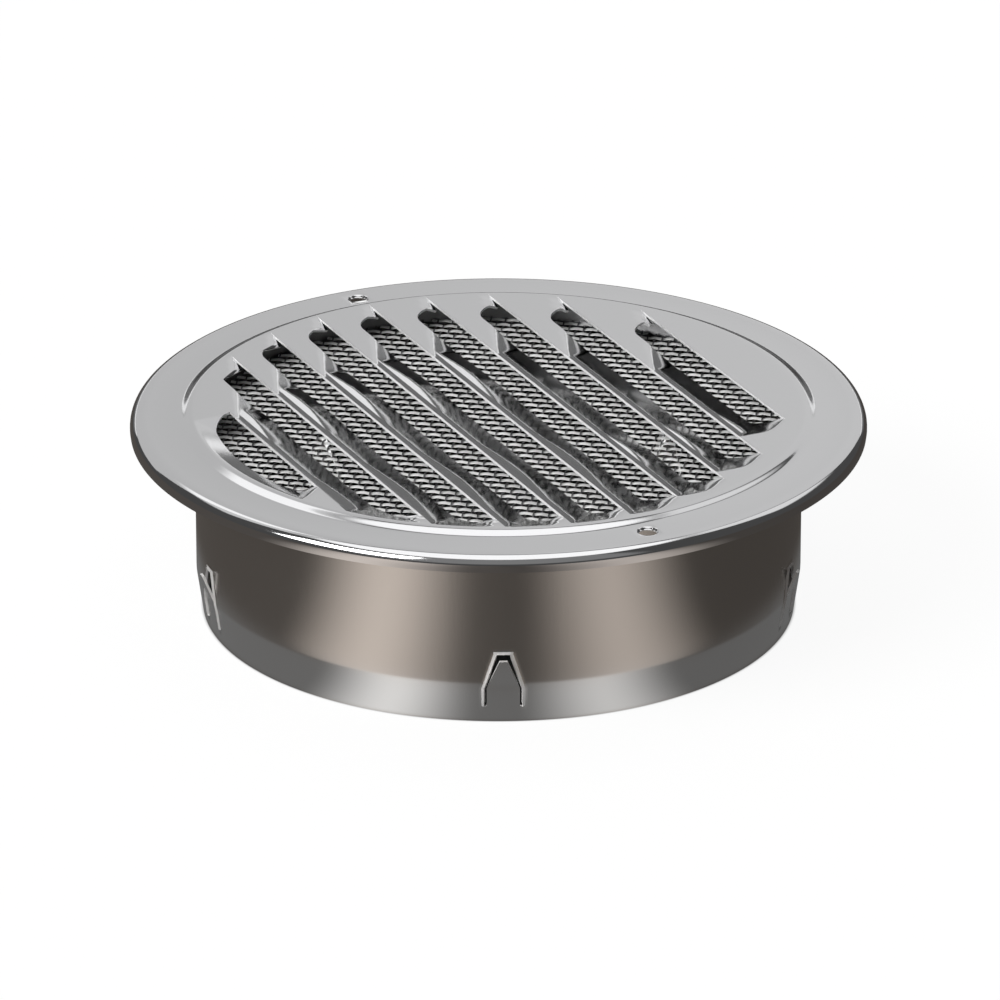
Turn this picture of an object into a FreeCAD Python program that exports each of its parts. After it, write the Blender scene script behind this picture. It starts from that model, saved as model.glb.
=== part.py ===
import FreeCAD, Part
import math
import os

# Round louvred vent cover for a 150 mm duct, lying face up on the end of its collar.
# Millimetres, +Z out of the face, +X along the louvres, origin at the middle of the collar's end.
doc = FreeCAD.newDocument("vent_cover")
sizes = doc.addObject("Spreadsheet::Sheet", "sizes")

DIMENSIONS = {
    # the collar's outside, which fits the duct; the radii of the other pieces are set off from it
    "collar_radius": 74.2,
    # face plate, one pressed sheet
    "flange_overhang": 15.8,
    "flange_height": 50.0,
    "plate_gauge": 0.6,
    "skirt_depth": 4.0,
    "rim_bend": 2.0,
    "bend_flats": 2,
    "rise_height": 1.2,
    "rise_margin": 0.8,
    "rise_run": 3.0,
    # louvres pressed into the raised disc
    "louvre_count": 9,
    "louvre_pitch": 15.0,
    "louvre_shift": -0.5,
    "louvre_margin": 4.2,
    "louvre_spread": 7.1,
    "louvre_side_margin": 3.1,
    "louvre_least": 3.0,
    "louvre_drop": 2.4,
    "louvre_land": 1.0,
    "hollow_steps": 1,
    "slot_width": 6.4,
    "slot_round": 3.6,
    "slit_kerf": 0.5,
    # pressed screw holes in the flange
    "screw_offset": 7.8,
    "screw_hole": 2.1,
    "screw_sink": 3.6,
    "sink_depth": 1.0,
    # weld ring behind the flange, and the collar with lanced barbs and a tapered end
    "collar_gauge": 0.6,
    "ring_width": 10.0,
    "notch_clearance": 1.0,
    "taper_height": 10.5,
    "taper_inset": 1.5,
    "barb_count": 5,
    "barb_bearing": -24.6,
    "barb_foot": 9.0,
    "barb_length": 8.4,
    "barb_root": 8.0,
    "barb_tip": 1.8,
    "barb_standoff": 2.4,
    "barb_slit": 4.8,
    "barb_clearance": 0.7,
    # insect screen, a shallow dish hung by its lip on the weld ring
    "screen_clearance": 0.3,
    "screen_gauge": 0.4,
    "lip_overlap": 1.8,
    "screen_depth": 4.4,
    "wire_thickness": 0.8,
    "weft_pitch": 3.2,
    "weft_gap": 2.0,
    "screen_border": 2.5,
    "weave_bearing": 55.5,
}
for row, (alias, number) in enumerate(DIMENSIONS.items(), start=1):
    sizes.set(f"A{row}", alias)
    sizes.set(f"B{row}", str(number))
    sizes.setAlias(f"B{row}", alias)
doc.recompute()


def size(alias):
    return float(getattr(sizes, alias))


def solid(kind, name, **bound):
    """A primitive whose properties follow the sheet; dots in a property are written as two underscores."""
    made = doc.addObject(kind, name)
    for prop, formula in bound.items():
        made.setExpression(prop.replace("__", "."), formula)
    return made


def cylinder(name, radius, height, foot):
    return solid("Part::Cylinder", name, Radius=radius, Height=height, Placement__Base__z=foot)


def cone(name, low, high, height, foot):
    return solid("Part::Cone", name, Radius1=low, Radius2=high, Height=height, Placement__Base__z=foot)


def cut(name, base, *tools):
    made = doc.addObject("Part::Cut", name)
    made.Base = base
    made.Tool = tools[0] if len(tools) == 1 else gather(name + "_tools", tools)
    return made


def gather(name, members):
    made = doc.addObject("Part::Compound", name)
    made.Links = list(members)
    return made


def fuse(name, *members):
    made = doc.addObject("Part::MultiFuse", name)
    made.Shapes = list(members)
    return made


def shaped(name, shape):
    made = doc.addObject("Part::Feature", name)
    made.Shape = shape
    return made


COLLAR = "sizes.collar_radius"
FLANGE = "sizes.flange_height"
GAUGE = "sizes.plate_gauge"
WALL = "sizes.collar_gauge"


def pan_form(name, rim, bend, top):
    """A round blank whose upper rim is bent over in even flats above an upright skirt."""
    skirt = f"({FLANGE} - sizes.skirt_depth)"
    flats = int(size("bend_flats"))
    turns = [f"{90 * number / flats} deg" for number in range(flats + 1)]
    members = [cylinder(f"{name}_skirt", rim, f"{top} - {bend} - {skirt}", skirt)]
    for number, (low, high) in enumerate(zip(turns, turns[1:]), start=1):
        members.append(cone(
            f"{name}_bend_{number}",
            f"{rim} - {bend} * (1 - cos({low}))",
            f"{rim} - {bend} * (1 - cos({high}))",
            f"{bend} * (sin({high}) - sin({low}))",
            f"{top} - {bend} * (1 - sin({low}))",
        ))
    return fuse(name, *members)


# Flange with its rolled-over rim and turned-down skirt, as one pan of even gauge.
RIM = f"({COLLAR} + sizes.flange_overhang)"
rim_outside = pan_form("rim_outside", RIM, "sizes.rim_bend", FLANGE)
rim_inside = pan_form(
    "rim_inside", f"({RIM} - {GAUGE})", f"max(sizes.rim_bend - {GAUGE}; 0.1)", f"({FLANGE} - {GAUGE})"
)
pan = cut("pan", rim_outside, rim_inside)

# Raised disc with its sloping step; the hollow below it is the same form one gauge lower.
rise = {
    "low": f"{COLLAR} + sizes.rise_margin + sizes.rise_run",
    "high": f"{COLLAR} + sizes.rise_margin",
    "height": "sizes.rise_height",
}
disc_top = cone("disc_top", foot=FLANGE, **rise)
disc_hollow = cone("disc_hollow", foot=f"{FLANGE} - {GAUGE}", **rise)
blank = cut("blank", fuse("pan_and_disc", pan, disc_top), disc_hollow)


def half_chord(radius, offset):
    return math.sqrt(max(radius**2 - offset**2, 0.0))


def louvre(index):
    """One louvre's slit position, how far its hollow spreads past the slot, and the half length between the
    centres of its round ends. The spread is less where the slot lies near the edge of the disc."""
    slit = size("louvre_pitch") * (index - (size("louvre_count") - 1) / 2) + size("louvre_shift")
    side = size("collar_radius") - size("louvre_side_margin") + slit
    spread = min(size("louvre_spread"), side - size("slot_width"))
    sag = size("slot_width") - size("slot_round")
    rounding = size("slot_round") + spread
    tips = half_chord(size("collar_radius") - size("louvre_margin"), slit)
    on_circle = tips - half_chord(rounding, sag)
    room = size("collar_radius") + size("rise_margin") - size("louvre_land")
    in_disc = half_chord(room - rounding, sag - slit)
    return slit, spread, min(on_circle, in_disc)


def has_room(index):
    """A louvre is pressed only where the disc leaves its slot a straight length and its hollow a slope."""
    slit, spread, half = louvre(index)
    return half > size("louvre_least") and spread > size("slit_kerf")


def slot_form(index, profile):
    """A section turned half round at both ends of one louvre and drawn straight between them, then cut
    off along its slit. The profile runs down from its top as pairs of half width and level."""
    slit, spread, half = louvre(index)
    axis = slit - size("slot_width") + size("slot_round")
    up = FreeCAD.Vector(0, 0, 1)
    core = [(0.0, profile[0][1]), *profile, (0.0, profile[-1][1])]
    members = []
    for side in (1, -1):
        section = [FreeCAD.Vector(side * half, axis - side * width, level) for width, level in core]
        face = Part.Face(Part.makePolygon([*section, section[0]]))
        members.append(face.revolve(FreeCAD.Vector(side * half, axis, 0), up, 180))
    across = [(-width, level) for width, level in profile] + list(reversed(profile))
    section = [FreeCAD.Vector(-half, axis + width, level) for width, level in across]
    face = Part.Face(Part.makePolygon([*section, section[0]]))
    members.append(face.extrude(FreeCAD.Vector(2 * half, 0, 0)))
    whole = members[0].multiFuse(members[1:]).removeSplitter()
    box = whole.BoundBox
    corner = FreeCAD.Vector(box.XMin, box.YMin, box.ZMin)
    kept = Part.makeBox(box.XLength, slit + size("slit_kerf") / 2 - box.YMin, box.ZLength, corner)
    return whole.common(kept)


def hollow(index, lower):
    """The pressed hollow of one louvre: it falls more and more steeply from its outline to its slot."""
    top = size("flange_height") + size("rise_height") - lower
    spread = louvre(index)[1]
    shares = [step / size("hollow_steps") for step in range(int(size("hollow_steps")) + 1)]
    return slot_form(index, [
        (size("slot_round") + spread * (1 - share), top - size("louvre_drop") * share**2)
        for share in shares
    ])


def slot(index):
    """The opening of one louvre, straight down from the edge of its hollow."""
    top = size("flange_height") + size("rise_height")
    depth = size("louvre_drop") + 2 * size("plate_gauge")
    return slot_form(index, [(size("slot_round"), top), (size("slot_round"), top - depth)])


def kerf(index):
    """The sheared slit along the straight side of one louvre, from tip to tip."""
    slit, spread, half = louvre(index)
    rounding = size("slot_round") + spread
    tip = half + half_chord(rounding, size("slot_width") - size("slot_round"))
    depth = size("louvre_drop") + size("rise_height") + 2 * size("plate_gauge")
    top = size("flange_height") + size("rise_height") + size("plate_gauge")
    corner = FreeCAD.Vector(-tip, slit, top - depth - size("plate_gauge"))
    return Part.makeBox(2 * tip, size("slit_kerf"), depth + size("plate_gauge"), corner)


# Louvres: each lip is the hollow one gauge lower, less the hollow, less its slot and its slit.
louvres = [index for index in range(int(size("louvre_count"))) if has_room(index)]
lips = [shaped(f"lip_{i + 1}", hollow(i, size("plate_gauge"))) for i in louvres]
hollows = [shaped(f"hollow_{i + 1}", hollow(i, 0.0)) for i in louvres]
slots = [shaped(f"slot_{i + 1}", slot(i)) for i in louvres]
kerfs = [shaped(f"kerf_{i + 1}", kerf(i)) for i in louvres]
pressed = cut("pressed", fuse("plate_and_lips", blank, *lips), gather("hollows", hollows))
louvred = cut("slotted", pressed, *slots)
slit_plate = cut("slit_plate", louvred, *kerfs)

# Two screw holes on the flange, each in a pressed countersink.
dimples, sinks, holes, notches = [], [], [], []
sink_foot = f"sizes.screw_hole + {GAUGE} / 2"
for number, side in enumerate((1, -1), start=1):
    place = {"Placement__Base__x": f"{side} * ({COLLAR} + sizes.screw_offset)"}
    dimples.append(solid(
        "Part::Cone", f"dimple_{number}", Radius1=sink_foot, Radius2="sizes.screw_sink",
        Height="sizes.sink_depth",
        Placement__Base__z=f"{FLANGE} - {GAUGE} - sizes.sink_depth", **place,
    ))
    sinks.append(solid(
        "Part::Cone", f"sink_{number}", Radius1=sink_foot, Radius2="sizes.screw_sink",
        Height="sizes.sink_depth", Placement__Base__z=f"{FLANGE} - sizes.sink_depth", **place,
    ))
    holes.append(solid(
        "Part::Cylinder", f"hole_{number}", Radius="sizes.screw_hole",
        Height=f"2 * (sizes.sink_depth + {GAUGE})",
        Placement__Base__z=f"{FLANGE} - 2 * sizes.sink_depth - {GAUGE}", **place,
    ))
    notches.append(solid(
        "Part::Cylinder", f"notch_{number}", Radius="sizes.screw_sink + sizes.notch_clearance",
        Height=f"3 * {WALL}", Placement__Base__z=f"{FLANGE} - {GAUGE} - 2 * {WALL}", **place,
    ))
face_plate = cut("face_plate", fuse("dimpled", slit_plate, *dimples), *sinks, *holes)

# Weld ring: flat against the back of the flange, cut back round the two countersinks.
BRIM_TOP = f"{FLANGE} - {GAUGE}"
ring_blank = cut(
    "ring_blank",
    cylinder("ring_disc", f"{COLLAR} + sizes.ring_width", WALL, f"{BRIM_TOP} - {WALL}"),
    cylinder("ring_bore", f"{COLLAR} - {WALL}", f"3 * {WALL}", f"{BRIM_TOP} - 2 * {WALL}"),
)
weld_ring = cut("weld_ring", ring_blank, *notches)

# Collar: a rolled tube that stands on the weld ring's back, with a tapered leading end.
TAPER = f"{COLLAR} - sizes.taper_inset"
tube_height = f"{BRIM_TOP} - {WALL} - sizes.taper_height"
tube = fuse(
    "tube",
    cylinder("tube_wall", COLLAR, tube_height, "sizes.taper_height"),
    cone("tube_taper", TAPER, COLLAR, "sizes.taper_height", "0"),
)
bore = fuse(
    "bore",
    cylinder("bore_wall", f"{COLLAR} - {WALL}", tube_height, "sizes.taper_height"),
    cone("bore_taper", f"{TAPER} - {WALL}", f"{COLLAR} - {WALL}", "sizes.taper_height", "0"),
)
sleeve = cut("sleeve", tube, bore)

# Barbs: blunt tongues sheared from the wall, slit free below their bend and leaning out to grip the duct.
below_taper = max(1.0 - size("barb_foot") / size("taper_height"), 0.0)
foot_radius = size("collar_radius") - size("taper_inset") * below_taper
lean = math.atan2(size("collar_radius") + size("barb_standoff") - foot_radius, size("barb_length"))
through = f"(sizes.barb_standoff + 2 * {WALL})"
up = FreeCAD.Vector(0, 0, 1)
barbs, windows = [], []
for number in range(int(size("barb_count"))):
    bearing = math.radians(size("barb_bearing") + 360 / size("barb_count") * number)
    out = FreeCAD.Vector(math.cos(bearing), math.sin(bearing), 0)
    along = FreeCAD.Vector(-math.sin(bearing), math.cos(bearing), 0)
    hinge = out * foot_radius + up * size("barb_foot")
    upright = FreeCAD.Placement(hinge, FreeCAD.Rotation(along, up, out))
    leaning = FreeCAD.Placement(hinge, FreeCAD.Rotation(
        along, out * math.sin(lean) + up * math.cos(lean), out * math.cos(lean) - up * math.sin(lean)
    ))
    barbs.append(solid(
        "Part::Wedge", f"barb_{number + 1}",
        Xmin="-sizes.barb_root / 2", Xmax="sizes.barb_root / 2",
        X2min="-sizes.barb_tip / 2", X2max="sizes.barb_tip / 2",
        Ymin=f"-{WALL}", Ymax="sizes.barb_length", Zmin=f"-{WALL}", Zmax="0", Z2min=f"-{WALL}", Z2max="0",
    ))
    barbs[-1].Placement = leaning
    half_root = "(sizes.barb_root / 2 + sizes.barb_clearance)"
    half_tip = "(sizes.barb_tip / 2 + sizes.barb_clearance)"
    windows.append(solid(
        "Part::Wedge", f"window_{number + 1}",
        Xmin=f"-{half_root}", Xmax=half_root, X2min=f"-{half_tip}", X2max=half_tip,
        Ymin="0", Ymax="sizes.barb_length + sizes.barb_clearance",
        Zmin=f"-{through}", Zmax=through, Z2min=f"-{through}", Z2max=through,
    ))
    windows[-1].Placement = upright
    for hand, side in ("left", f"-{half_root}"), ("right", "sizes.barb_root / 2"):
        windows.append(solid(
            "Part::Wedge", f"slit_{hand}_{number + 1}",
            Xmin=side, Xmax=f"{side} + sizes.barb_clearance", X2min=side, X2max=f"{side} + sizes.barb_clearance",
            Ymin="-sizes.barb_slit", Ymax="0",
            Zmin=f"-{through}", Zmax=through, Z2min=f"-{through}", Z2max=through,
        ))
        windows[-1].Placement = upright
collar = fuse("collar", cut("pierced", sleeve, *windows), *barbs)

# Insect screen: a plain turned edge and lip round a floor of weft bars.
DISH = f"{COLLAR} - {WALL} - sizes.screen_clearance"
FLOOR = f"{BRIM_TOP} - sizes.screen_depth"
dish_outside = fuse(
    "dish_outside",
    cylinder("dish_wall", DISH, "sizes.screen_depth + sizes.screen_gauge", FLOOR),
    cylinder("dish_lip", f"{COLLAR} + sizes.lip_overlap", "sizes.screen_gauge", BRIM_TOP),
)
dish_inside = cylinder(
    "dish_inside", f"{DISH} - sizes.screen_gauge", "sizes.screen_depth", f"{FLOOR} + sizes.wire_thickness"
)
field_radius = f"{DISH} - sizes.screen_border"
field = cylinder("field", field_radius, "3 * sizes.wire_thickness", f"{FLOOR} - sizes.wire_thickness")
doc.recompute()
reach = field.Radius.Value
row_count = int(reach / size("weft_pitch") - 0.5)
gaps = []
for weft in range(-row_count, row_count + 1):
    gaps.append(solid(
        "Part::Box", f"gap_{weft + row_count + 1}", Width="sizes.weft_gap", Length=f"2 * ({field_radius})",
        Height="3 * sizes.wire_thickness", Placement__Base__z=f"{FLOOR} - sizes.wire_thickness",
        Placement__Base__y=f"{weft} * sizes.weft_pitch - sizes.weft_gap / 2",
        Placement__Base__x=f"-({field_radius})",
    ))
weave = doc.addObject("Part::Common", "weave")
weave.Base = gather("gaps", gaps)
weave.Tool = field
insect_screen = cut("insect_screen", cut("dish", dish_outside, dish_inside), weave)
insect_screen.setExpression("Placement.Rotation.Angle", "sizes.weave_bearing")

doc.recompute()
for made in doc.Objects:
    if "Invalid" in made.State or "Error" in made.State:
        raise RuntimeError(f"{made.Name} failed: {made.State}")

os.makedirs("parts", exist_ok=True)
nodes = (face_plate, weld_ring, collar, insect_screen)
for node in nodes:
    if node.Shape.isNull() or not node.Shape.isValid():
        raise RuntimeError(f"{node.Label} has no valid shape")
for node in nodes:
    box = node.Shape.BoundBox
    print(node.Label, len(node.Shape.Solids), round(node.Shape.Volume, 1), len(node.Shape.Faces), box)
    node.Shape.exportStep(f"parts/{node.Label}.step")
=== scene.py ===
import math

import bmesh
import bpy
import numpy as np
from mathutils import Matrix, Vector
from mathutils.geometry import tessellate_polygon


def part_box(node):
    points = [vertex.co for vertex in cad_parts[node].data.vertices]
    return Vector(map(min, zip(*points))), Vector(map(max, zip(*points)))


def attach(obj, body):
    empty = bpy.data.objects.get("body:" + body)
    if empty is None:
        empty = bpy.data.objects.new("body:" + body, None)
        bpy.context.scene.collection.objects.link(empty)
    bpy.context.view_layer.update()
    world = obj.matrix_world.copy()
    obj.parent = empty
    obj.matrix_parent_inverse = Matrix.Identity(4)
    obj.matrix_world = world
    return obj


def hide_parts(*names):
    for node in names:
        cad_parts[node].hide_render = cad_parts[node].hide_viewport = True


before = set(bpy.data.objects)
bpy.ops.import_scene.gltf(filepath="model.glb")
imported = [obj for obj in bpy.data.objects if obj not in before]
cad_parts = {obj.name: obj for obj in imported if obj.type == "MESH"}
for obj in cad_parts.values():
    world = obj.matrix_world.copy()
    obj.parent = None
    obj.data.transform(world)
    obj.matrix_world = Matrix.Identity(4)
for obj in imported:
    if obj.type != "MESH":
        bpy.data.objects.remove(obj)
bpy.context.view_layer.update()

# Camera: a long lens from a little above the face, turned so that the louvres run from the back on the left
# to the front on the right. It points at the middle of the face, and the shift brings the whole cover to the
# middle of the frame.
scene = bpy.context.scene
scene.view_settings.view_transform = "Standard"
camera_bearing = math.radians(64.5)
camera_height = math.radians(22.5)
camera_distance = 2.15
face_middle = Vector((0, 0, 0.050))
towards_camera = Vector((
    math.sin(camera_bearing) * math.cos(camera_height),
    -math.cos(camera_bearing) * math.cos(camera_height),
    math.sin(camera_height),
))
camera = bpy.data.objects.new("camera", bpy.data.cameras.new("camera"))
scene.collection.objects.link(camera)
camera.location = face_middle + towards_camera * camera_distance
camera.rotation_euler = (-towards_camera).to_track_quat("-Z", "Y").to_euler()
camera.data.sensor_width = 36.0
camera.data.lens = 317.1
camera.data.shift_x = 0.0015
camera.data.shift_y = -0.089
camera.data.clip_start = 0.05
camera.data.clip_end = 20.0
scene.camera = camera

# Face plate: one sheet of stainless steel, pressed. The rim is rolled over into a short skirt, and the middle
# stands up as a disc. Each louvre is sheared along a straight slit, and its blade is drawn down towards that
# slit, so that a slot stays open there. Sizes are in millimetres until the mesh is made.
plate_low, plate_high = (1000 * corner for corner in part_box("face_plate"))
ring_top = 1000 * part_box("weld_ring")[1].z
plate_gauge = 0.6
flange_level = ring_top + plate_gauge
disc_level = plate_high.z - 0.02
disc_radius = 75.0
step_foot = 78.4
rim_radius = plate_high.x - 0.05
rim_bend = 2.7
skirt_level = plate_low.z
skirt_chamfer = 0.1
skirt_chamfer_rise = 0.8

# Slits, and the slots along them: round at both tips, with a wider nose on the left.
louvre_count = 9
slit_pitch = 15.0
slit_shift = -0.5
tip_circle = 70.0
lowest_half = 26.8
slits = [slit_pitch * (number - (louvre_count - 1) / 2) + slit_shift for number in range(louvre_count)]
slit_halves = [lowest_half] + [math.sqrt(tip_circle**2 - y**2) for y in slits[1:]]
slot_width = 4.8
slot_start = 2.0
slot_corner = 8.0
nose_extra = 3.4
nose_length = 15.0
nose_fade = 12.0
lowest_slot_reach = 44.0
lowest_slot_margin = 5.4

# Blades: how steeply each part of one falls, and where the folds at its two ends lie.
edge_fall = 0.31
edge_width = 2.0
blade_fall = 0.40
lowest_fall = 0.75
blade_margin = 0.6
blade_reach = 74.9
left_fall = 0.60
left_slant_along = 0.379
left_slant_across = 0.925
left_from_tip = 16.0
left_below_slit = 8.4
lowest_left_from_tip = 3.0
right_fall = 0.28
right_margin = 0.7
right_bulge = 5.5
right_bulge_run = 9.0
fold_round = 0.08
outline_round = 0.05

# Flatter spots that the press leaves along a blade: place, half length, width and how much flatter.
long_blades = range(1, 6)
long_blade_spots = ((-25.0, 21.0, 2.8, 0.19), (35.0, 20.0, 2.6, 0.08))
short_blade_spots = ((35.0, 12.0, 1.7, 0.19),)
spot_taper = 1.6


def smooth(t):
    t = np.clip(t, 0.0, 1.0)
    return t * t * (3.0 - 2.0 * t)


def chord(offset):
    """Half the width of the raised disc at an offset from its middle."""
    return np.sqrt(np.clip(disc_radius**2 - offset**2, 0.0, None))


def rounded(value, softness):
    """The value where it is above zero and zero elsewhere, with a round corner between the two."""
    return softness * np.logaddexp(0.0, value / softness)


def lip_width(number, x):
    """How far a louvre's lip lies from its slit. The lowest louvre's lip follows the edge of the disc."""
    half = slit_halves[number]
    inside = np.clip((half - np.abs(x) - slot_start) / slot_corner, 0.0, 1.0)
    widest = slot_width + nose_extra * (1.0 - smooth((x + half - nose_length) / nose_fade))
    if number == 0:
        widest = slits[0] + chord(np.minimum(np.abs(x), lowest_slot_reach)) - lowest_slot_margin
    return np.clip(widest, 0.0, None) * np.sqrt(1.0 - (1.0 - inside) ** 2)


def pressed(number, x, y):
    """How deep a louvre is pressed: its blade falls evenly from a fold one pitch below its slit to its lip.
    A slanted fold closes it on the left, and a round one that follows the disc's edge on the right."""
    half = slit_halves[number]
    below = np.clip(slits[number] - y, 0.0, None)
    to_disc_edge = slits[number] + chord(np.minimum(np.abs(x), blade_reach)) - blade_margin
    inward = np.clip(np.minimum(slit_pitch, to_disc_edge) - below, 0.0, None)
    past_edge = inward - edge_width
    blade = edge_fall * inward + (blade_fall - edge_fall) * rounded(past_edge, fold_round)
    left = left_fall * (
        left_slant_along * (x + half - left_from_tip) - left_slant_across * (below - left_below_slit)
    )
    if number == 0:
        blade = lowest_fall * inward
        left = right_fall * (x + half - lowest_left_from_tip)
    spots = long_blade_spots if number in long_blades else short_blade_spots
    for middle, half_length, width, flatter in spots:
        spot_width = width * np.clip(1.0 - ((x - middle) / half_length) ** 2, 0.0, None) ** spot_taper
        blade = blade - flatter * np.minimum(np.clip(past_edge, 0.0, None), spot_width)
    bulge = right_bulge * np.sin(np.clip(below / right_bulge_run, 0.0, 1.0) * math.pi / 2)
    to_rim = disc_radius - right_margin - np.hypot(x, y)
    right = right_fall * np.minimum(half - x + bulge, to_rim)
    least = -fold_round * np.logaddexp(
        np.logaddexp(-blade / fold_round, -left / fold_round), -right / fold_round
    )
    return rounded(least, outline_round)


# The disc is drawn in strips, each from one slit up to the lip of the next louvre.
column_count = 195
tip_crowding = 0.35
lip_settling = 40
span = np.linspace(-1.0, 1.0, column_count)
columns = (1.0 - tip_crowding) * span + tip_crowding * np.sin(span * math.pi / 2)
across = np.array([
    0, 0.06, 0.12, 0.17, 0.195, 0.22, 0.26, 0.31, 0.36, 0.41, 0.46, 0.53, 0.6, 0.7, 0.8, 0.9, 1.0,
])
plate = bmesh.new()
for strip in range(louvre_count + 1):
    at_disc_edge = strip in (0, louvre_count)
    edge_columns = columns * chord(np.array(slits[0 if strip == 0 else -1]))
    bottom = np.full_like(columns, slits[strip - 1]) if strip else -chord(edge_columns)
    top = chord(edge_columns)
    if strip < louvre_count:
        top = np.full_like(columns, slits[strip])
        for _ in range(lip_settling):
            x_top = columns * chord(top) if strip else edge_columns
            top = 0.5 * top + 0.5 * (slits[strip] - lip_width(strip, x_top))
    grid = []
    for share in across:
        y = bottom + (top - bottom) * share
        x = edge_columns if at_disc_edge else columns * chord(y)
        z = np.full_like(x, disc_level)
        if strip < louvre_count:
            z = z - pressed(strip, x, y)
        grid.append([plate.verts.new(place) for place in zip(x, y, z)])
    for low, high in zip(grid, grid[1:]):
        for column in range(column_count - 1):
            plate.faces.new((low[column], low[column + 1], high[column + 1], high[column]))
bmesh.ops.remove_doubles(plate, verts=plate.verts[:], dist=0.002)
bmesh.ops.dissolve_degenerate(plate, edges=plate.edges[:], dist=0.001)

# Round the disc: the step down, the flange, the rolled rim and the skirt, as pairs of radius and level.
screw_circle = 82.0
screw_sink = 2.8
screw_hole = 2.1
sink_depth = 0.5
screw_band = 85.6
screw_window = 4.4
step_run = step_foot - disc_radius
step_fall = disc_level - flange_level
profile = [
    (disc_radius + step_run * share, disc_level - step_fall * float(smooth(share)))
    for share in np.linspace(0.0, 1.0, 10)[1:]
]
profile += [(screw_band, flange_level), (rim_radius - rim_bend, flange_level)]
profile += [
    (rim_radius - rim_bend + rim_bend * math.sin(bend), flange_level - rim_bend + rim_bend * math.cos(bend))
    for bend in np.linspace(0.0, math.pi / 2, 10)[1:]
]
profile += [(rim_radius, skirt_level + skirt_chamfer_rise), (rim_radius - skirt_chamfer, skirt_level)]
disc_edge = sorted(
    (vert for vert in plate.verts if vert.co.xy.length > disc_radius - 0.01),
    key=lambda vert: math.atan2(vert.co.y, vert.co.x),
)
edge_bearings = [math.atan2(vert.co.y, vert.co.x) for vert in disc_edge]
rings = [disc_edge]
for radius, level in profile:
    rings.append([
        plate.verts.new((radius * math.cos(bearing), radius * math.sin(bearing), level))
        for bearing in edge_bearings
    ])
screw_cells = {1: [], -1: []}
for inner, outer in zip(rings, rings[1:]):
    beside_step = abs(inner[0].co.xy.length - step_foot) < 0.01
    for column in range(len(disc_edge)):
        after = (column + 1) % len(disc_edge)
        cell = (inner[column], inner[after], outer[after], outer[column])
        middle = sum((vert.co for vert in cell), Vector()) / 4
        if beside_step and abs(middle.y) < screw_window:
            screw_cells[1 if middle.x > 0 else -1].append(cell)
        else:
            plate.faces.new((cell[0], cell[3], cell[2], cell[1]))

# Screw holes: the flange is left open round each one and filled up to its pressed countersink.
sink_profile = (
    (screw_sink, 0.0),
    (screw_sink - 0.12, 0.04),
    (screw_sink - 0.3, 0.16),
    (screw_hole + 0.25, sink_depth - 0.12),
    (screw_hole + 0.12, sink_depth),
    (screw_hole, sink_depth + 0.1),
)
sink_turns = np.linspace(0.0, 2 * math.pi, 41)[:-1]
for side, cells in screw_cells.items():
    cells.sort(key=lambda cell: math.atan2(cell[0].co.y * side, cell[0].co.x * side))
    inner = [cell[0] for cell in cells] + [cells[-1][1]]
    outer = [cell[3] for cell in cells] + [cells[-1][2]]
    opening = inner + outer[::-1]
    sink = [
        [
            plate.verts.new((
                side * screw_circle + radius * math.cos(turn), radius * math.sin(turn), flange_level - drop
            ))
            for turn in sink_turns
        ]
        for radius, drop in sink_profile
    ]
    around = opening + sink[0]
    for a, b, c in tessellate_polygon([[vert.co for vert in opening], [vert.co for vert in sink[0]]]):
        plate.faces.new((around[a], around[b], around[c]))
    for high, low in zip(sink, sink[1:]):
        for n in range(len(sink_turns)):
            after = (n + 1) % len(sink_turns)
            plate.faces.new((high[n], high[after], low[after], low[n]))
bmesh.ops.recalc_face_normals(plate, faces=plate.faces[:])


def finished(name, built, gauge):
    """Gives a drawn surface its gauge, marks the cut edges for a finish of their own and makes the object."""
    sharp_turn = 0.7
    cut_edge = built.verts.layers.int.new("cut_edge")
    for vert in built.verts:
        vert[cut_edge] = int(vert.is_boundary)
    bmesh.ops.solidify(built, geom=built.faces[:], thickness=gauge)
    bmesh.ops.recalc_face_normals(built, faces=built.faces[:])
    for face in built.faces:
        face.smooth = True
        if len(face.verts) == 4 and all(vert[cut_edge] for vert in face.verts):
            face.material_index = 1
    for edge in built.edges:
        if len(edge.link_faces) == 2 and edge.calc_face_angle() > sharp_turn:
            edge.smooth = False
    bmesh.ops.scale(built, vec=(0.001,) * 3, verts=built.verts[:])
    mesh = bpy.data.meshes.new(name)
    built.to_mesh(mesh)
    built.free()
    made = bpy.data.objects.new(name, mesh)
    scene.collection.objects.link(made)
    return made


# Sheet grain: the fine lines that rolling leaves along the sheet, and the faint smudges of handling.
sheet_grain = bpy.data.node_groups.new("sheet_grain", "ShaderNodeTree")
for socket, usual in (("Fineness", 400.0), ("Stretch", 30.0)):
    made = sheet_grain.interface.new_socket(socket, in_out="INPUT", socket_type="NodeSocketFloat")
    made.default_value = usual
for socket in ("Grain", "Smudge"):
    sheet_grain.interface.new_socket(socket, in_out="OUTPUT", socket_type="NodeSocketFloat")
nodes, links = sheet_grain.nodes, sheet_grain.links
group_in = nodes.new("NodeGroupInput")
group_out = nodes.new("NodeGroupOutput")
place = nodes.new("ShaderNodeTexCoord")
factors = nodes.new("ShaderNodeCombineXYZ")
factors.inputs[0].default_value = 1.0
factors.inputs[2].default_value = 1.0
links.new(group_in.outputs["Stretch"], factors.inputs[1])
stretch = nodes.new("ShaderNodeVectorMath")
stretch.operation = "MULTIPLY"
links.new(place.outputs["Object"], stretch.inputs[0])
links.new(factors.outputs[0], stretch.inputs[1])
grain = nodes.new("ShaderNodeTexNoise")
grain.inputs["Detail"].default_value = 3.0
links.new(stretch.outputs[0], grain.inputs["Vector"])
links.new(group_in.outputs["Fineness"], grain.inputs["Scale"])
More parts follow.
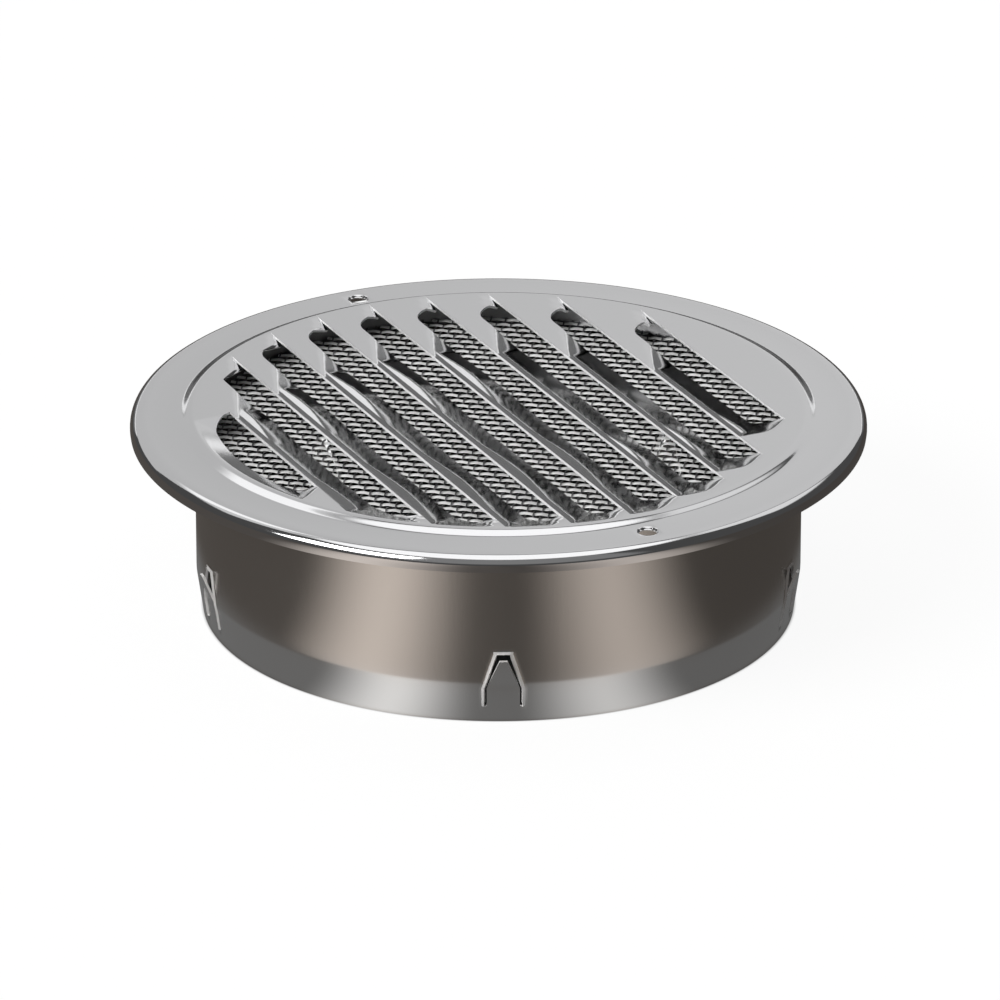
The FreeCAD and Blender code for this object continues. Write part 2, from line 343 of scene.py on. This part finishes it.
links.new(grain.outputs["Fac"], group_out.inputs["Grain"])
smudge = nodes.new("ShaderNodeTexNoise")
smudge.inputs["Scale"].default_value = 22.0
smudge.inputs["Detail"].default_value = 4.0
links.new(place.outputs["Object"], smudge.inputs["Vector"])
links.new(smudge.outputs["Fac"], group_out.inputs["Smudge"])


def steel(name, colour, metal, rough, spread, fineness, stretch, bump):
    """Bare steel whose roughness follows the rolled grain and faint handling marks."""
    material = bpy.data.materials.new(name)
    material.use_nodes = True
    tree = material.node_tree
    shader = tree.nodes["Principled BSDF"]
    shader.inputs["Base Color"].default_value = (*colour, 1.0)
    shader.inputs["Metallic"].default_value = metal
    sheet = tree.nodes.new("ShaderNodeGroup")
    sheet.node_tree = sheet_grain
    sheet.inputs["Fineness"].default_value = fineness
    sheet.inputs["Stretch"].default_value = stretch
    both = tree.nodes.new("ShaderNodeMath")
    both.operation = "ADD"
    tree.links.new(sheet.outputs["Grain"], both.inputs[0])
    tree.links.new(sheet.outputs["Smudge"], both.inputs[1])
    remap = tree.nodes.new("ShaderNodeMapRange")
    remap.inputs["From Min"].default_value = 0.6
    remap.inputs["From Max"].default_value = 1.4
    remap.inputs["To Min"].default_value = rough - spread
    remap.inputs["To Max"].default_value = rough + spread
    tree.links.new(both.outputs[0], remap.inputs["Value"])
    tree.links.new(remap.outputs[0], shader.inputs["Roughness"])
    raised = tree.nodes.new("ShaderNodeBump")
    raised.inputs["Strength"].default_value = bump
    raised.inputs["Distance"].default_value = 0.0002
    tree.links.new(sheet.outputs["Grain"], raised.inputs["Height"])
    tree.links.new(raised.outputs[0], shader.inputs["Normal"])
    return material


face_plate = finished("face_plate_sheet", plate, plate_gauge)
face_plate.data.materials.append(steel(
    "plate_polished", colour=(0.74, 0.74, 0.75), metal=1.0, rough=0.07, spread=0.03,
    fineness=500.0, stretch=12.0, bump=0.02,
))
face_plate.data.materials.append(steel(
    "plate_sheared", colour=(0.85, 0.85, 0.85), metal=0.3, rough=0.42, spread=0.06,
    fineness=900.0, stretch=3.0, bump=0.2,
))
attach(face_plate, "root")
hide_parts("face_plate")

# Insect screen: woven steel wire in a shallow pressed rim that hangs by its lip on the weld ring.
# The weft is flattened, and thin warp wires hold it, so that it shows as rows of dashes. The weft's steel is
# painted pale as a painted highlight, and the warp and the rim are painted dark as painted shade.
screen_low, screen_high = (1000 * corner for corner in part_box("insect_screen"))
weave_turn = math.radians(55.5)
weave_level = screen_low.z + 0.4
weave_radius = 72.6
weft_pitch = 3.2
warp_pitch = 1.85
lip_radius = 76.0
rim_wall = 73.3
rim_inside = 70.8
rim_gauge = 0.35
rim_sides = 180


def wires(name, pitch, other_pitch, half_wide, half_thick, crimp, along_x):
    """A set of parallel wires, flat on top, that wave over and under the crossing wires."""
    section = ((1, 0), (0.8, 1), (-0.8, 1), (-1, 0), (-0.8, -1), (0.8, -1))
    corners = len(section)
    waves_in = 3
    count = int(weave_radius / pitch)
    verts, faces = [], []
    for number in range(-count, count + 1):
        offset = number * pitch
        half = math.sqrt(max(weave_radius**2 - offset**2, 0.0))
        if half < other_pitch:
            continue
        steps = max(int(2 * half / other_pitch * waves_in), waves_in)
        for step in range(steps + 1):
            run = -half + 2 * half * step / steps
            lift = crimp * math.cos(math.pi * (run / other_pitch + number))
            for wide, thick in section:
                sideways = offset + half_wide * wide
                rise = weave_level + lift + half_thick * thick
                x, y = (run, sideways) if along_x else (sideways, run)
                verts.append((
                    0.001 * (x * math.cos(weave_turn) - y * math.sin(weave_turn)),
                    0.001 * (x * math.sin(weave_turn) + y * math.cos(weave_turn)),
                    0.001 * rise,
                ))
            if step:
                new = len(verts) - corners
                old = new - corners
                for n in range(corners):
                    after = (n + 1) % corners
                    quad = (old + n, old + after, new + after, new + n)
                    faces.append(quad if along_x else quad[::-1])
    mesh = bpy.data.meshes.new(name)
    mesh.from_pydata(verts, [], faces)
    made = bpy.data.objects.new(name, mesh)
    scene.collection.objects.link(made)
    return made


weft = wires(
    "screen_weft", weft_pitch, warp_pitch, half_wide=0.72, half_thick=0.12, crimp=0.10, along_x=True
)
warp = wires(
    "screen_warp", warp_pitch, weft_pitch, half_wide=0.17, half_thick=0.17, crimp=-0.42, along_x=False
)
rim_profile = (
    (lip_radius, screen_high.z),
    (rim_wall + 0.6, screen_high.z),
    (rim_wall + 0.2, screen_high.z - 0.1),
    (rim_wall, screen_high.z - 0.4),
    (rim_wall, screen_low.z + 0.4),
    (rim_wall - 0.2, screen_low.z + 0.05),
    (rim_wall - 0.5, screen_low.z),
    (rim_inside, screen_low.z),
)
rim_turns = np.linspace(0, 2 * math.pi, rim_sides + 1)[:-1]
rim = bmesh.new()
turned = [
    [rim.verts.new((radius * math.cos(turn), radius * math.sin(turn), level)) for turn in rim_turns]
    for radius, level in rim_profile
]
for outer, inner in zip(turned, turned[1:]):
    for n in range(rim_sides):
        after = (n + 1) % rim_sides
        rim.faces.new((outer[n], inner[n], inner[after], outer[after]))
bmesh.ops.recalc_face_normals(rim, faces=rim.faces[:])
screen_rim = finished("screen_rim", rim, rim_gauge)
# Painted highlight: the weft is given a pale, mostly matte copy of the steel so that it shows bright.
weft_painted_bright = steel(
    "screen_weft_painted_bright", colour=(0.92, 0.92, 0.91), metal=0.2, rough=0.45, spread=0.08,
    fineness=1200.0, stretch=1.0, bump=0.10,
)
# Painted shade: the warp wires and the screen's rim are given a near-black copy of the same steel.
shaded_screen_steel = steel(
    "screen_painted_shade", colour=(0.22, 0.22, 0.22), metal=1.0, rough=0.35, spread=0.05,
    fineness=600.0, stretch=4.0, bump=0.05,
)
for piece in (weft, warp, screen_rim):
    piece.data.materials.append(weft_painted_bright if piece is weft else shaded_screen_steel)
    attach(piece, "root")
    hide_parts("insect_screen")

# Collar: steel strip rolled into a tube and drawn in a little at its leading end. Five blunt tongues are
# sheared from the wall and bent outwards, so that they spring in and grip the duct. The shear leaves the wall
# standing out a little along its cut edges.
collar_radius = 74.2
collar_top = 1000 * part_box("collar")[1].z
collar_gauge = 0.6
taper_level = 10.5
taper_inset = 1.5
barb_count = 5
barb_bearing = math.radians(-24.6)
barb_half = 4.0
tip_half = 0.9
barb_gap = 0.7
barb_length = 8.4
barb_lean = math.radians(17.2)
lean_overrun = 1.08
bend_rate = 3.0
slit_level = 4.2
hinge_level = 9.0
window_top = 18.1
brow_level = 18.7
edge_swell = 0.38
near_reach = 14.0
near_crowding = 1.2
barb_cells = 5
barb_steps = 8


def wall_radius(z):
    return collar_radius - taper_inset * max(1.0 - z / taper_level, 0.0)


def window_half(z):
    share = min(max((z - hinge_level) / (window_top - hinge_level), 0.0), 1.0)
    return barb_half + barb_gap + (tip_half - barb_half) * share


levels = [0, 0.3, 1.2, 2.6, slit_level, 5.4, 6.6, 7.8, hinge_level]
levels += [9.8, 10.3, 10.7, 11.2, 12.4, 13.8, 15.2, 16.7, window_top, brow_level]
levels += [20, 23, 27, 31, 35, 39, 43, 46, collar_top]
barb_share = barb_half / (barb_half + barb_gap)
cell_range = range(-barb_cells, barb_cells + 1)
barb_shares = [barb_share * n / barb_cells for n in cell_range]
near = np.linspace(0.0, 1.0, 11)[1:] ** near_crowding
far = np.linspace(0.0, 1.0, 13)[1:]
half_sector = math.pi * collar_radius / barb_count
left_edge = len(near) + len(far)
right_edge = left_edge + 1 + len(barb_shares)
shell = bmesh.new()


def on_wall(heading, offset, radius, z):
    """A point at a height on the collar, offset along its wall from the middle of a tongue."""
    bearing = heading + offset / collar_radius
    return shell.verts.new((radius * math.cos(bearing), radius * math.sin(bearing), z))


for barb in range(barb_count):
    heading = barb_bearing + 2 * math.pi / barb_count * barb
    rows = []
    for z in levels:
        edge = window_half(z)
        beside = [edge]
        beside += [edge + (near_reach - edge) * share for share in near]
        beside += [near_reach + (half_sector - near_reach) * share for share in far]
        offsets = [-offset for offset in reversed(beside)] + [edge * share for share in barb_shares] + beside
        swollen = ()
        if slit_level <= z <= window_top:
            swollen = range(left_edge, right_edge + 1) if z == window_top else (left_edge, right_edge)
        rows.append([
            on_wall(heading, offset, wall_radius(z) + (edge_swell if n in swollen else 0.0), z)
            for n, offset in enumerate(offsets)
        ])
    for z, low, high in zip(levels, rows, rows[1:]):
        for n in range(len(low) - 1):
            in_window = hinge_level <= z < window_top and left_edge <= n < right_edge
            in_slit = slit_level <= z < hinge_level and n in (left_edge, right_edge - 1)
            if in_window or in_slit:
                continue
            wall = shell.faces.new((low[n], low[n + 1], high[n + 1], high[n]))
            on_side = n in (left_edge - 1, right_edge) and slit_level <= z <= window_top
            on_brow = left_edge <= n < right_edge and z == window_top
            wall.material_index = int(on_side or on_brow)
    before = rows[levels.index(hinge_level)][left_edge + 1:right_edge]
    radius, z = wall_radius(hinge_level), hinge_level
    for step in range(1, barb_steps + 1):
        share = step / barb_steps
        lean = barb_lean * min(share * bend_rate, 1.0) * lean_overrun
        radius += barb_length / barb_steps * math.sin(lean)
        z += barb_length / barb_steps * math.cos(lean)
        half = barb_half + (tip_half - barb_half) * share
        current = [on_wall(heading, half * n / barb_cells, radius, z) for n in cell_range]
        for n in range(2 * barb_cells):
            shell.faces.new((before[n], before[n + 1], current[n + 1], current[n]))
        before = current
bmesh.ops.remove_doubles(shell, verts=shell.verts[:], dist=0.003)
bmesh.ops.recalc_face_normals(shell, faces=shell.faces[:])
collar = finished("collar_sleeve", shell, collar_gauge)
collar_steel = steel(
    "collar_polished", colour=(0.70, 0.68, 0.66), metal=1.0, rough=0.20, spread=0.03,
    fineness=300.0, stretch=8.0, bump=0.03,
)
collar.data.materials.append(collar_steel)
collar.data.materials.append(steel(
    "collar_sheared", colour=(0.85, 0.84, 0.83), metal=0.45, rough=0.35, spread=0.06,
    fineness=900.0, stretch=3.0, bump=0.2,
))
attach(collar, "root")
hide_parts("collar")

# Weld ring: a flat ring of the collar's steel, welded to the back of the flange. The collar is fixed to its
# back, and the screen's lip lies on its front, so that it shows only from below.
weld_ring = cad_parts["weld_ring"]
weld_ring.data.materials.clear()
weld_ring.data.materials.append(collar_steel)

# Floor: a plain pale table top. The camera sees it white, with a painted shadow that turns it black inside
# the collar.
# In the steel it shows as a warm, dimmer table painted by position as glowing light: a painted pool of light
# on either side of the middle, a painted glow close round the cover and painted shade under the collar.
# Lengths are in metres, and the places of the pools are turns from the front in radians.
floor_half = 3.0
painted_shade_under_collar = (0.070, 0.074)
painted_shadow_edge = (0.072, 0.0735)
close_by = (0.082, 0.100)
middle_band = (-0.03, 0.03)
pool_rise = (0.08, 0.57)
pool_fall = (0.56, 1.06)
pool_dark = 0.10
pool_bright = 0.74
pool_end = 0.12
right_pool = 0.75
close_turn = 1.45
close_glow = 0.06
close_gain = 1.25
seen_white = 0.93
shadow_kept = 0.08
floor_mesh = bpy.data.meshes.new("floor")
floor_corners = [(floor_half * x, floor_half * y, 0) for x, y in ((-1, -1), (1, -1), (1, 1), (-1, 1))]
floor_mesh.from_pydata(floor_corners, [], [(0, 1, 2, 3)])
floor = bpy.data.objects.new("floor", floor_mesh)
scene.collection.objects.link(floor)
table = bpy.data.materials.new("table_top_with_painted_light")
table.use_nodes = True
tree = table.node_tree
tree.nodes.clear()


def node(kind, **settings):
    made = tree.nodes.new(kind)
    for key, value in settings.items():
        setattr(made, key, value)
    return made


def maths(operation, a, b=None):
    made = node("ShaderNodeMath", operation=operation)
    for socket, value in zip(made.inputs, (a, b)):
        if value is None:
            continue
        if isinstance(value, (int, float)):
            socket.default_value = value
        else:
            tree.links.new(value, socket)
    return made.outputs[0]


def times(a, b):
    return maths("MULTIPLY", a, b)


def ramp(value, low, high, start, stop):
    made = node("ShaderNodeMapRange", interpolation_type="SMOOTHSTEP")
    tree.links.new(value, made.inputs["Value"])
    for socket, number in zip(("From Min", "From Max", "To Min", "To Max"), (low, high, start, stop)):
        made.inputs[socket].default_value = number
    return made.outputs[0]


def along(axes, x_share, y_share):
    """How far a point lies along a level direction."""
    return maths("ADD", times(axes.outputs[0], x_share), times(axes.outputs[1], y_share))


place = node("ShaderNodeNewGeometry")
axes = node("ShaderNodeSeparateXYZ")
tree.links.new(place.outputs["Position"], axes.inputs[0])
front_x = math.sin(camera_bearing)
front_y = -math.cos(camera_bearing)
ahead = along(axes, front_x, front_y)
aside = along(axes, -front_y, front_x)
distance = maths("SQRT", maths("ADD", times(ahead, ahead), times(aside, aside)))
# Painted shade: the reflected floor is dimmed under the collar, and the painted glow close round the cover
# starts outside it.
outside = ramp(distance, *painted_shade_under_collar, 0.0, 1.0)
close = times(ramp(distance, *close_by, 1.0, 0.0), outside)
turn = times(maths("ABSOLUTE", maths("ARCTAN2", aside, ahead)), ramp(close, 0.0, 1.0, 1.0, close_turn))
# Painted pools of light: how bright the floor glows is painted by its bearing from the front, dimmer on the
# right and darkened under the collar.
painted_pool = times(ramp(turn, *pool_rise, pool_dark, pool_bright), ramp(turn, *pool_fall, 1.0, pool_end))
painted_pool = times(painted_pool, ramp(aside, *middle_band, 1.0, right_pool))
painted_pool = times(painted_pool, ramp(distance, *painted_shade_under_collar, 0.02, 1.0))
tint = node("ShaderNodeMix", data_type="RGBA")
tint.inputs["A"].default_value = (1.0, 0.90, 0.82, 1.0)
tint.inputs["B"].default_value = (0.95, 0.96, 0.97, 1.0)
tree.links.new(close, tint.inputs["Factor"])
# The glowing floor: the painted pools plus a painted glow close round the cover, tinted cool there and warm
# further out.
amount = times(maths("ADD", painted_pool, times(close, close_glow)), ramp(close, 0.0, 1.0, 1.0, close_gain))
painted_glow = node("ShaderNodeEmission")
tree.links.new(tint.outputs["Result"], painted_glow.inputs["Color"])
tree.links.new(amount, painted_glow.inputs["Strength"])
white = node("ShaderNodeEmission")
white.inputs["Color"].default_value = (1.0, 1.0, 1.0, 1.0)
# Painted shadow: the white the camera sees is painted black inside the collar.
tree.links.new(ramp(distance, *painted_shadow_edge, 0.0, seen_white), white.inputs["Strength"])
paper = node("ShaderNodeBsdfDiffuse")
paper.inputs["Color"].default_value = (0.9, 0.9, 0.9, 1.0)
black = node("ShaderNodeEmission")
black.inputs["Strength"].default_value = 0.0
faint = node("ShaderNodeMixShader")
faint.inputs[0].default_value = 1.0 - shadow_kept
tree.links.new(paper.outputs[0], faint.inputs[1])
tree.links.new(black.outputs[0], faint.inputs[2])
seen = node("ShaderNodeAddShader")
tree.links.new(white.outputs[0], seen.inputs[0])
tree.links.new(faint.outputs[0], seen.inputs[1])
path = node("ShaderNodeLightPath")
choice = node("ShaderNodeMixShader")
tree.links.new(path.outputs["Is Camera Ray"], choice.inputs[0])
tree.links.new(painted_glow.outputs[0], choice.inputs[1])
tree.links.new(seen.outputs[0], choice.inputs[2])
output = node("ShaderNodeOutputMaterial")
tree.links.new(choice.outputs[0], output.inputs["Surface"])
floor_mesh.materials.append(table)

# Studio: soft panels round the table, as the polished face shows them. A white strip stands along the back
# with a grey card above it, a soft box hangs overhead, and the strongest light is a panel at the left front.
# The rest of the room on the camera's side is dark.
world = bpy.data.worlds.new("studio")
scene.world = world
world.use_nodes = True
tree = world.node_tree
tree.nodes.clear()
direction = node("ShaderNodeTexCoord")
axes = node("ShaderNodeSeparateXYZ")
tree.links.new(direction.outputs["Generated"], axes.inputs[0])
away = along(axes, -front_x, -front_y)
right = along(axes, -front_y, front_x)
bearing = times(maths("ARCTAN2", right, away), 180 / math.pi)
elevation = times(maths("ARCSINE", axes.outputs[2]), 180 / math.pi)


def panel(middle, half_wide, low, high, soft, strength):
    """A panel with soft edges: the bearing of its middle from straight behind the cover, half its width, and
    its lower and upper edge, all in degrees."""
    offset = maths("ABSOLUTE", maths("SUBTRACT", bearing, middle))
    sideways = ramp(offset, half_wide - soft, half_wide + soft, 1.0, 0.0)
    above_low = ramp(elevation, low - soft, low + soft, 0.0, 1.0)
    below_high = ramp(elevation, high - soft, high + soft, 1.0, 0.0)
    return times(times(sideways, times(above_low, below_high)), strength)


room_light = 0.09
below_strip = panel(0, 30, 2.5, 9.5, 0.6, 0.12)
white_strip = panel(0, 30, 9.5, 13.0, 0.6, 1.15)
grey_card = times(panel(-10, 40, 13.5, 56.0, 0.6, 0.66), ramp(bearing, -5.0, 5.0, 0.97, 1.14))
right_wing = panel(54, 20, 32.0, 60.0, 3.0, 1.0)
left_wing = panel(-50, 25, 37.0, 60.0, 3.0, 0.8)
soft_box = panel(0, 190, 62.0, 100.0, 3.0, 1.5)
left_front = panel(-128, 22, 27.0, 48.0, 3.0, 15.0)
front_right_half = panel(180, 45, 14.0, 60.0, 4.0, 0.2)
front_left_half = panel(-180, 45, 14.0, 60.0, 4.0, 0.2)
light = room_light
for lit in (
    below_strip, white_strip, grey_card, right_wing, left_wing, soft_box, left_front,
    front_right_half, front_left_half,
):
    light = maths("ADD", lit, light)
studio = node("ShaderNodeBackground")
tree.links.new(light, studio.inputs["Strength"])
blank = node("ShaderNodeBackground")
blank.inputs["Strength"].default_value = 1.0
path = node("ShaderNodeLightPath")
choice = node("ShaderNodeMixShader")
tree.links.new(path.outputs["Is Camera Ray"], choice.inputs[0])
tree.links.new(studio.outputs[0], choice.inputs[1])
tree.links.new(blank.outputs[0], choice.inputs[2])
output = node("ShaderNodeOutputWorld")
tree.links.new(choice.outputs[0], output.inputs["Surface"])
